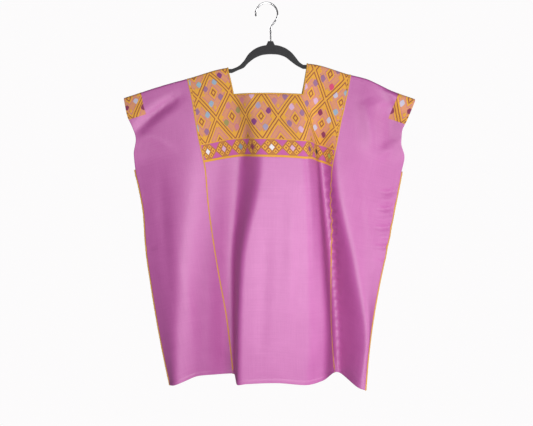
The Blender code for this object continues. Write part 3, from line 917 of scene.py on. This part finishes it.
def grey_flock(colours):
    """Short velvety nap over the whole hanger."""
    shader = material_shader("grey_flock")
    where = shader.node("ShaderNodeTexCoord", output=3)
    nap = shader.noise(where, 2600.0, detail=2.0, roughness=0.7)
    worn = shader.noise(where, 30.0)
    dark, light = colours.flock, [min(1.0, c * 1.9) for c in colours.flock]
    colour = shader.mix((nap * 0.6 + worn * 0.4 - 0.1).clamped(), dark, light)
    settings = {"Roughness": 0.95, "Sheen Weight": 0.3, "Sheen Roughness": 0.35}
    return shader.surface(colour, settings, nap, 0.35)


def bright_wire(colours):
    """Polished wire with fine scratches along it."""
    shader = material_shader("bright_wire")
    where = shader.node("ShaderNodeTexCoord", output=3)
    stretch = shader.node("ShaderNodeMapping", None, {"Vector": where, "Scale": (1.0, 1.0, 0.15)})
    scratch = shader.noise(stretch, 900.0, detail=3.0)
    roughness = scratch * 0.16 + 0.12
    return shader.surface(colours.wire, {"Metallic": 1.0, "Roughness": roughness}, scratch, 0.01)


def pale_floor():
    """Plain pale floor, far below the hem."""
    shader = material_shader("pale_floor")
    where = shader.node("ShaderNodeTexCoord", output=3)
    shade = shader.noise(where, 3.0)
    colour = shader.mix(shade, (0.78, 0.77, 0.78), (0.82, 0.81, 0.82))
    return shader.surface(colour, {"Roughness": 0.9})


def cloth_width_place(panel, share, drop):
    """U in mm: across the centre length from its left seam, or in from a side length's outer edge."""
    if panel == 0:
        return SIDE_WIDTH * share
    if panel == 2:
        return SIDE_WIDTH * (1.0 - share)
    bunched = float(steady_curve(BUNCHING_DROPS, BUNCHING, drop))
    return CENTRE_WIDTH * (share + bunched * np.sin(2 * math.pi * share) / (2 * math.pi))


def cloth_mesh(name, panel, places, drops, sizes, is_hole=None):
    """One length of cloth as a sheet, with the rows of its rolled hem marked for a thicker wall, and its
    cloth coordinates.
    """
    shares, shifts = np.array(column(places, 0)), np.array(column(places, 1))
    skew = steady_curve(SKEW_SHARES, SKEW, shares) if panel == 1 else np.zeros(len(shares))
    mesh = bpy.data.meshes.new(name)
    bm = bmesh.new()
    uv_layer = bm.loops.layers.uv.new("cloth")
    weight_layer = bm.verts.layers.deform.verify()
    hem_share = 1.0 - sizes.hem_depth / MM / WARP_LENGTH
    grid, places_uv = [], {}
    for points, _, along in cloth_rows(panel, shares, shifts, drops):
        drop = along / WARP_LENGTH if along >= 0 else max(0.0, (-along - FOLD_LENGTH) / WARP_LENGTH)
        across = cloth_width_place(panel, shares, drop)
        line = []
        for i, point in enumerate(points):
            vert = bm.verts.new(Vector(point) * MM)
            vert[weight_layer][0] = 1.0 if drop > hem_share else 0.0
            places_uv[vert] = (across[i] * MM, (along + skew[i]) * MM)
            line.append(vert)
        grid.append(line)
    for j in range(len(grid) - 1):
        for i in range(len(places) - 1):
            if is_hole is None or not is_hole(i, j):
                corners = (grid[j][i], grid[j][i + 1], grid[j + 1][i + 1], grid[j + 1][i])
                face = bm.faces.new(corners)
                face.smooth = True
                for loop in face.loops:
                    loop[uv_layer].uv = places_uv[loop.vert]
    for vert in [v for v in bm.verts if not v.link_faces]:
        bm.verts.remove(vert)
    bm.to_mesh(mesh)
    bm.free()
    return mesh


def thickened(name, mesh, material, sizes):
    """Give a sheet its wall, thicker along the rolled hem."""
    piece = new_object(name, mesh, material)
    piece.vertex_groups.new(name="hem")
    wall = piece.modifiers.new("cloth wall", "SOLIDIFY")
    wall.thickness = sizes.hem_thickness
    wall.offset = 0.0
    wall.vertex_group = "hem"
    wall.thickness_vertex_group = sizes.cloth_thickness / sizes.hem_thickness
    made = as_mesh(piece)
    made.data.shade_smooth()
    return made


def side_places(panel, sizes):
    """Columns of a side length, with fine ones at both edges."""
    half_gap = sizes.seam_gap / MM / 2
    outer_share, inner_share = (0.0, 1.0) if panel == 0 else (1.0, 0.0)
    inwards = 1.0 if panel == 0 else -1.0
    count = round(SIDE_WIDTH / COLUMN_STEP)
    middle = [(i / count, 0.0) for i in range(1, count)]
    outer = [(outer_share, inwards * shift) for shift in EDGE_COLUMNS]
    inner = [(inner_share, -inwards * (half_gap + shift)) for shift in EDGE_COLUMNS]
    if panel == 0:
        return outer + middle + inner[::-1]
    return inner + middle + outer[::-1]


def centre_places(sizes):
    """Columns of the centre length, and which of them bound the neck hole."""
    half_gap = sizes.seam_gap / MM / 2
    step = COLUMN_STEP / CENTRE_WIDTH
    left = spaced(0.0, NECK_LEFT, step)
    middle = spaced(NECK_LEFT, NECK_RIGHT, step)
    right = spaced(NECK_RIGHT, 1.0, step)
    places = [(0.0, half_gap + shift) for shift in EDGE_COLUMNS]
    places += [(share, 0.0) for share in left[1:]]
    first_open = len(places) - 1
    places += [(share, 0.0) for share in middle[1:]]
    last_open = len(places) - 1
    places += [(share, 0.0) for share in right[1:-1]]
    places += [(1.0, -half_gap - shift) for shift in reversed(EDGE_COLUMNS)]
    return places, first_open, last_open


def path_object(name, points, normals, closed=False):
    """A path of edges whose points carry the cloth's outward direction."""
    count = len(points)
    edges = [(i, i + 1) for i in range(count - 1)] + ([(count - 1, 0)] if closed else [])
    mesh = bpy.data.meshes.new(name)
    mesh.from_pydata([tuple(p * MM) for p in points], edges, [])
    outward = mesh.attributes.new("outward", "FLOAT_VECTOR", "POINT")
    outward.data.foreach_set("vector", np.asarray(normals, float).ravel())
    return new_object(name, mesh)


def stitch_tree():
    """Stitches laid side by side along a path, each across it."""
    tree = bpy.data.node_groups.new("row_of_stitches", "GeometryNodeTree")
    sockets = (
        ("Path", "Geometry"),
        ("Spacing", "Float"),
        ("Size", "Vector"),
        ("Slant", "Float"),
        ("Unevenness", "Float"),
        ("Seed", "Int"),
        ("Material", "Material"),
    )
    for name, kind in sockets:
        tree.interface.new_socket(name, in_out="INPUT", socket_type="NodeSocket" + kind)
    tree.interface.new_socket("Stitches", in_out="OUTPUT", socket_type="NodeSocketGeometry")

    nodes = Nodes(tree)
    given = {name: nodes.node("NodeGroupInput", output=name) for name, _ in sockets}
    curve = nodes.node("GeometryNodeMeshToCurve", None, {"Mesh": given["Path"]})
    even = nodes.node(
        "GeometryNodeResampleCurve", {"mode": "LENGTH"}, {"Curve": curve, "Length": given["Spacing"]}
    )
    outward = nodes.node(
        "GeometryNodeInputNamedAttribute", {"data_type": "FLOAT_VECTOR"}, {"Name": "outward"}
    )
    tangent = nodes.node("GeometryNodeInputTangent")
    along = nodes.node("FunctionNodeAlignRotationToVector", {"axis": "X"}, {"Vector": tangent})
    upright = nodes.node(
        "FunctionNodeAlignRotationToVector",
        {"axis": "Z", "pivot_axis": "X"},
        {"Rotation": along, "Vector": outward},
    )
    uneven = given["Unevenness"]
    wobble = nodes.node(
        "FunctionNodeRandomValue",
        {"data_type": "FLOAT"},
        {2: uneven * -1.0, 3: uneven, "Seed": given["Seed"]},
        output=1,
    )
    turn = nodes.node("ShaderNodeCombineXYZ", None, {"Z": given["Slant"] + wobble})
    turned = nodes.node("FunctionNodeEulerToRotation", None, {"Euler": turn})
    facing = nodes.node(
        "FunctionNodeRotateRotation",
        {"rotation_space": "LOCAL"},
        {"Rotation": upright, "Rotate By": turned},
    )
    reach = wobble * STITCH_REACH + 1.0
    size = nodes.node("ShaderNodeVectorMath", {"operation": "SCALE"}, {0: given["Size"], "Scale": reach})
    bead = nodes.node("GeometryNodeMeshUVSphere", None, {"Segments": 7, "Rings": 5, "Radius": 0.5})
    placed = {"Points": even, "Instance": bead, "Rotation": facing, "Scale": size}
    stitches = nodes.node("GeometryNodeInstanceOnPoints", None, placed)
    real = nodes.node("GeometryNodeRealizeInstances", None, {"Geometry": stitches})
    smooth = nodes.node("GeometryNodeSetShadeSmooth", None, {"Geometry": real})
    finished = nodes.node(
        "GeometryNodeSetMaterial", None, {"Geometry": smooth, "Material": given["Material"]}
    )
    nodes.node("NodeGroupOutput", None, {"Stitches": finished})
    return tree


def stitched(path, kind, seed_step):
    """Lay a row of stitches of one kind along a path, as a plain mesh."""
    scene = bpy.context.scene
    sizes = scene.huipil_sizes
    spacing, thickness, length_added, height, slant, unevenness = STITCHES[kind]
    tree = bpy.data.node_groups.get("row_of_stitches") or stitch_tree()
    length = sizes.stitch_length + length_added * MM
    values = {
        "Spacing": sizes.stitch_spacing * spacing,
        "Size": (sizes.stitch_spacing * thickness, length, height * MM),
        "Slant": slant,
        "Unevenness": unevenness,
        "Seed": sizes.stitch_seed + seed_step,
        "Material": bpy.data.materials.get("gold_thread") or gold_thread(scene.huipil_colours),
    }
    modifier = path.modifiers.new("stitches", "NODES")
    modifier.node_group = tree
    for item in tree.interface.items_tree:
        if item.in_out == "INPUT" and item.name in values:
            modifier[item.identifier] = values[item.name]
    return as_mesh(path)


def seam_path(name, panel):
    """The line where two lengths meet, from the front hem to the back hem."""
    rows = cloth_rows(panel, np.array([0.0]), np.array([0.0]), drop_list())
    points = np.array([points[0] for points, _, _ in rows])
    normals = np.array([normals[0] for _, normals, _ in rows])
    return path_object(name, points, normals)


def side_seam_path(name, side):
    """The whipped seam lies just outside the two edges that it joins."""
    panel, share, out = (0, 0.0, -1.0) if side == "left" else (2, 1.0, 1.0)
    points = []
    for drop in [d for d in drop_list(ARMHOLE_DROP) if d >= ARMHOLE_DROP]:
        front = FRONT.points(drop, panel, np.array([share]), np.array([0.0]))[0][0]
        back = BACK.points(drop, panel, np.array([share]), np.array([0.0]))[0][0]
        middle = (front + back) / 2
        points.append(middle + np.array((out * (SIDE_BEAD_OUT - SIDE_SEAM_INSET), 0.0, 0.0)))
    return path_object(name, np.array(points), np.tile((out, 0.0, 0.0), (len(points), 1)))


def neck_path(name):
    """The closed path of the binding: along the front, over a shoulder, along the back, and over."""
    shares = np.array(spaced(NECK_LEFT, NECK_RIGHT, COLUMN_STEP / CENTRE_WIDTH))
    still = np.zeros(len(shares))
    sides = []
    for share in (NECK_LEFT, NECK_RIGHT):
        rows = cloth_rows(1, np.array([share]), np.array([0.0]), drop_list(NECK_DROP), end=NECK_DROP)
        sides.append((np.array([p[0] for p, _, _ in rows]), np.array([n[0] for _, n, _ in rows])))
    front, front_normals = FRONT.points(NECK_DROP, 1, shares, still)
    back, back_normals = BACK.points(NECK_DROP, 1, shares, still)
    points = np.concatenate((front[1:-1], sides[1][0], back[-2:0:-1], sides[0][0][::-1]))
    normals = np.concatenate(
        (front_normals[1:-1], sides[1][1], back_normals[-2:0:-1], sides[0][1][::-1])
    )
    return path_object(name, points, normals, closed=True)


def arc_points(centre, radius, start, end, steps):
    """Points round an arc in the XZ plane, angles in degrees."""
    angles = [math.radians(start + (end - start) * i / steps) for i in range(steps + 1)]
    return [(centre[0] + radius * math.cos(a), centre[1] + radius * math.sin(a)) for a in angles]


def hanger_outline():
    """The hanger's flat outline: arms that follow the shoulders, joined by a raised arch."""
    arch_left, arch_right = ARCH[0][0], ARCH[-1][0]
    xs = spaced(ARM_LEFT_END, arch_left, ARM_STEP)[:-1]
    xs += spaced(arch_left, arch_right, ARCH_STEP)
    xs += spaced(arch_right, ARM_RIGHT_END, ARM_STEP)[1:]

    def edge(x, index, below):
        if arch_left <= x <= arch_right:
            return float(steady_curve(column(ARCH, 0), column(ARCH, index), x))
        return float(shoulder_z(x)) - HANGER_BELOW_CLOTH - below

    upper = [(x, edge(x, 1, 0.0)) for x in xs if abs(x - BOSS_X) > BOSS_HALF_WIDTH]
    boss = [
        (BOSS_X - BOSS_HALF_WIDTH, edge(BOSS_X - BOSS_HALF_WIDTH, 1, 0.0)),
        (BOSS_X - BOSS_TOP_HALF_WIDTH, BOSS_TOP),
        (BOSS_X + BOSS_TOP_HALF_WIDTH, BOSS_TOP),
        (BOSS_X + BOSS_HALF_WIDTH, edge(BOSS_X + BOSS_HALF_WIDTH, 1, 0.0)),
    ]
    upper = sorted(upper + boss)
    lower = [(x, edge(x, 2, ARM_DEPTH)) for x in reversed(xs)]
    half = ARM_DEPTH / 2
    right_centre = (upper[-1][0], upper[-1][1] - half)
    left_centre = (upper[0][0], upper[0][1] - half)
    right_tip = arc_points(right_centre, half, TIP_ANGLE, -TIP_ANGLE, TIP_STEPS)
    left_tip = arc_points(left_centre, half, 180.0 + TIP_ANGLE, 180.0 - TIP_ANGLE, TIP_STEPS)
    return upper + right_tip + lower + left_tip


def hook_path():
    """From the boss up the stem, round a neck bend and over the hook's circle."""
    middle = HOOK_INNER_RADIUS + WIRE_RADIUS
    circle = arc_points((0.0, -HOOK_INNER_RADIUS), middle, HOOK_START_ANGLE, HOOK_END_ANGLE, HOOK_STEPS)
    start, end = (BOSS_X, STEM_TOP), circle[0]
    reach = (end[1] - start[1]) / 2
    lean = math.radians(HOOK_START_ANGLE)
    first = (start[0], start[1] + reach)
    last = (end[0] + math.sin(lean) * reach, end[1] - math.cos(lean) * reach)
    bend = []
    for i in range(NECK_BEND_STEPS):
        t = i / NECK_BEND_STEPS
        weights = ((1 - t) ** 3, 3 * t * (1 - t) ** 2, 3 * t * t * (1 - t), t ** 3)
        corners = (start, first, last, end)
        bend.append(tuple(sum(w * c[k] for w, c in zip(weights, corners)) for k in (0, 1)))
    return [(BOSS_X, BOSS_TOP + SEAT_GAP)] + bend + circle


def curve_object(name, points, material, closed, settings):
    """A curve through its points, with the settings that give it its thickness."""
    curve = bpy.data.curves.new(name, "CURVE")
    for key, value in settings.items():
        setattr(curve, key, value)
    spline = curve.splines.new("POLY")
    spline.points.add(len(points) - 1)
    for target, point in zip(spline.points, points):
        target.co = (*[value * MM for value in point], 1.0)
    spline.use_cyclic_u = closed
    return new_object(name, curve, material)


def welded(piece):
    """The piece as a plain mesh, with the seams between a curve's sides and its caps closed."""
    piece = as_mesh(piece)
    bm = bmesh.new()
    bm.from_mesh(piece.data)
    bmesh.ops.remove_doubles(bm, verts=bm.verts, dist=WELD_DISTANCE * MM)
    bmesh.ops.recalc_face_normals(bm, faces=bm.faces)
    bm.to_mesh(piece.data)
    bm.free()
    piece.data.set_sharp_from_angle(angle=SHARP_ANGLE)
    return piece


def length_setting(name, description, default):
    return FloatProperty(
        name=name, description=description, default=default, unit="LENGTH", precision=4
    )


def colour_setting(name, description, default):
    return FloatVectorProperty(
        name=name, description=description, default=default, subtype="COLOR"
    )


class HuipilSizes(bpy.types.PropertyGroup):
    """Sizes that someone making another blouse would change."""

    cloth_thickness: length_setting("Cloth thickness", "Wall of the woven cloth", 0.0014)
    hem_depth: length_setting("Hem depth", "Height of the rolled hem", 0.008)
    hem_thickness: length_setting("Hem thickness", "Wall of the rolled hem", 0.0026)
    seam_gap: length_setting("Seam gap", "Gap between two lengths under the stitching", 0.0008)
    stitch_spacing: length_setting("Stitch spacing", "Distance from stitch to stitch", 0.0011)
    stitch_length: length_setting("Stitch length", "Width of the joining stitches", 0.0042)
    stitch_seed: IntProperty(
        name="Stitch seed", description="Changes the unevenness of the stitches", default=7
    )


class HuipilColours(bpy.types.PropertyGroup):
    """Colours and the grain of the cloth."""

    orchid_light: colour_setting("Orchid, light", "Lightest threads of the cloth", (0.51, 0.125, 0.38))
    orchid_mid: colour_setting("Orchid, middle", "Cloth between brocade motifs", (0.46, 0.085, 0.30))
    orchid_dark: colour_setting("Orchid, dark", "Darkest threads of the cloth", (0.37, 0.055, 0.26))
    gold_light: colour_setting("Gold, light", "Lightest gold thread", (0.80, 0.42, 0.04))
    gold_dark: colour_setting("Gold, dark", "Darkest gold thread", (0.56, 0.24, 0.018))
    groove: colour_setting("Groove", "Between stripes of gold", (0.30, 0.075, 0.03))
    flock: colour_setting("Flock", "Dark flock of the hanger", (0.024, 0.0235, 0.025))
    wire: colour_setting("Wire", "Bright wire of the hook", (0.72, 0.72, 0.73))
    thread_pitch: length_setting("Thread pitch", "Distance from thread to thread", 0.0011)
    relief: length_setting("Brocade relief", "How far the brocade stands up", 0.0005)


class HUIPIL_OT_stage(bpy.types.Operator):
    """Add the camera, the pale floor, the pale surroundings and the soft lights"""

    bl_idname = "huipil.stage"
    bl_label = "Stage"

    def execute(self, context):
        camera_data = bpy.data.cameras.new("camera")
        camera_data.lens = CAMERA_LENS
        camera_data.sensor_width = 36.0
        camera = bpy.data.objects.new("camera", camera_data)
        camera.location = CAMERA_PLACE
        camera.rotation_euler = (math.radians(90.0 - CAMERA_PITCH), 0.0, 0.0)
        context.scene.collection.objects.link(camera)
        context.scene.camera = camera
        context.scene.view_settings.view_transform = "Standard"

        place = (0.0, 0.0, FLOOR_Z)
        bpy.ops.mesh.primitive_circle_add(
            vertices=96, radius=FLOOR_RADIUS, fill_type="NGON", location=place
        )
        floor = context.object
        floor.name = "floor"
        floor.data.materials.append(pale_floor())

        context.scene.world = pale_room()
        for light in LIGHTS:
            soft_light(*light)
        return {"FINISHED"}


def pale_room():
    """Pale surroundings that light the cloth less than they show."""
    shader = Shader(bpy.data.worlds.new("pale_room"))
    shown = shader.node("ShaderNodeBackground", None, {"Color": (*ROOM_SHOWN, 1.0)})
    lighting = shader.node("ShaderNodeBackground", None, {"Color": (*ROOM_LIGHT, 1.0)})
    seen = shader.node("ShaderNodeLightPath", output="Is Camera Ray")
    either = shader.node("ShaderNodeMixShader", None, {0: seen, 1: lighting, 2: shown})
    shader.node("ShaderNodeOutputWorld", None, {"Surface": either})
    return shader.owner


def soft_light(name, place, target, size, power):
    """A square area light that faces a target."""
    light = bpy.data.lights.new(name, "AREA")
    light.size = size
    light.energy = power
    lamp = bpy.data.objects.new(name, light)
    lamp.location = place
    lamp.rotation_euler = (Vector(target) - Vector(place)).to_track_quat("-Z", "Y").to_euler()
    lamp.visible_camera = False
    bpy.context.scene.collection.objects.link(lamp)


class HUIPIL_OT_centre_length(bpy.types.Operator):
    """Weave the centre length, with its brocaded yoke and its square neck hole"""

    bl_idname = "huipil.centre_length"
    bl_label = "Centre length"

    def execute(self, context):
        sizes, colours = context.scene.huipil_sizes, context.scene.huipil_colours
        places, first_open, last_open = centre_places(sizes)
        drops = drop_list(NECK_DROP)
        edge = len(drops) - 1 - drops.index(NECK_DROP)
        rows_in_all = 2 * len(drops) + FOLD_STEPS - 1
        far_edge = rows_in_all - 1 - edge

        def is_hole(i, j):
            return first_open <= i < last_open and edge <= j < far_edge

        mesh = cloth_mesh("centre_length", 1, places, drops, sizes, is_hole)
        piece = thickened("centre_length", mesh, centre_cloth(colours), sizes)
        finish_piece(piece, "centre_panel")
        return {"FINISHED"}


class HUIPIL_OT_side_lengths(bpy.types.Operator):
    """Weave the two side lengths, with a brocaded square at each sleeve end"""

    bl_idname = "huipil.side_lengths"
    bl_label = "Side lengths"

    def execute(self, context):
        sizes, colours = context.scene.huipil_sizes, context.scene.huipil_colours
        material = side_cloth(colours)
        for name, node, panel in (("left_length", "left_panel", 0), ("right_length", "right_panel", 2)):
            mesh = cloth_mesh(name, panel, side_places(panel, sizes), drop_list(ARMHOLE_DROP), sizes)
            piece = thickened(name, mesh, material, sizes)
            finish_piece(piece, node)
        return {"FINISHED"}


class HUIPIL_OT_joining_stitches(bpy.types.Operator):
    """Join the lengths with close gold stitching"""

    bl_idname = "huipil.joining_stitches"
    bl_label = "Joining stitches"

    def execute(self, context):
        for step, (name, panel) in enumerate((("left_randa", 1), ("right_randa", 2))):
            piece = stitched(seam_path(name + "_stitches", panel), "joining", step)
            finish_piece(piece, name)
        return {"FINISHED"}


class HUIPIL_OT_side_seams(bpy.types.Operator):
    """Whip the front and back edges together below the armholes"""

    bl_idname = "huipil.side_seams"
    bl_label = "Side seams"

    def execute(self, context):
        for step, side in enumerate(("left", "right"), 10):
            name = side + "_side_seam"
            piece = stitched(side_seam_path(name + "_stitches", side), "side", step)
            finish_piece(piece, name)
        return {"FINISHED"}


class HUIPIL_OT_neck_binding(bpy.types.Operator):
    """Bind the edge of the neck hole in gold"""

    bl_idname = "huipil.neck_binding"
    bl_label = "Neck binding"

    def execute(self, context):
        piece = stitched(neck_path("neck_stitches"), "neck", 20)
        finish_piece(piece, "neck_binding")
        return {"FINISHED"}


class HUIPIL_OT_hanger(bpy.types.Operator):
    """Shape the flat flocked hanger"""

    bl_idname = "huipil.hanger"
    bl_label = "Hanger"

    def execute(self, context):
        outline = [(x, z, 0.0) for x, z in hanger_outline()]
        settings = {
            "dimensions": "2D",
            "fill_mode": "BOTH",
            "extrude": HANGER_FLAT * MM,
            "bevel_depth": HANGER_ROUNDING * MM,
            "bevel_resolution": BEVEL_STEPS,
            "offset": -HANGER_ROUNDING * MM,
        }
        flock = grey_flock(context.scene.huipil_colours)
        piece = curve_object("flocked_hanger", outline, flock, True, settings)
        piece.rotation_euler = (math.pi / 2, 0.0, 0.0)
        piece = welded(piece)
        finish_piece(piece, "hanger")
        return {"FINISHED"}


class HUIPIL_OT_hook(bpy.types.Operator):
    """Bend the bright wire hook"""

    bl_idname = "huipil.hook"
    bl_label = "Hook"

    def execute(self, context):
        points = [(x, 0.0, z) for x, z in hook_path()]
        settings = {
            "dimensions": "3D",
            "bevel_depth": WIRE_RADIUS * MM,
            "bevel_resolution": WIRE_STEPS,
            "use_fill_caps": True,
        }
        wire = bright_wire(context.scene.huipil_colours)
        piece = welded(curve_object("wire_hook", points, wire, False, settings))
        finish_piece(piece, "hanger_hook")
        return {"FINISHED"}


OPERATORS = (
    HUIPIL_OT_stage,
    HUIPIL_OT_centre_length,
    HUIPIL_OT_side_lengths,
    HUIPIL_OT_joining_stitches,
    HUIPIL_OT_side_seams,
    HUIPIL_OT_neck_binding,
    HUIPIL_OT_hanger,
    HUIPIL_OT_hook,
)


class HUIPIL_PT_panel(bpy.types.Panel):
    """Lists the blouse's pieces, sizes and colours"""

    bl_idname = "HUIPIL_PT_panel"
    bl_label = "Huipil blouse"
    bl_space_type = "VIEW_3D"
    bl_region_type = "UI"
    bl_category = "Huipil"

    def draw(self, context):
        for group in (context.scene.huipil_sizes, context.scene.huipil_colours):
            box = self.layout.box()
            for name in group.__annotations__:
                box.prop(group, name)
        for operator in OPERATORS:
            self.layout.operator(operator.bl_idname)


CLASSES = (HuipilSizes, HuipilColours, *OPERATORS, HUIPIL_PT_panel)


def register():
    for cls in CLASSES:
        bpy.utils.register_class(cls)
    bpy.types.Scene.huipil_sizes = PointerProperty(type=HuipilSizes)
    bpy.types.Scene.huipil_colours = PointerProperty(type=HuipilColours)


def unregister():
    del bpy.types.Scene.huipil_colours
    del bpy.types.Scene.huipil_sizes
    for cls in reversed(CLASSES):
        bpy.utils.unregister_class(cls)


def main():
    register()
    bpy.ops.huipil.stage()
    bpy.ops.huipil.centre_length()
    bpy.ops.huipil.side_lengths()
    bpy.ops.huipil.joining_stitches()
    bpy.ops.huipil.side_seams()
    bpy.ops.huipil.neck_binding()
    bpy.ops.huipil.hanger()
    bpy.ops.huipil.hook()


if __name__ == "__main__":
    main()
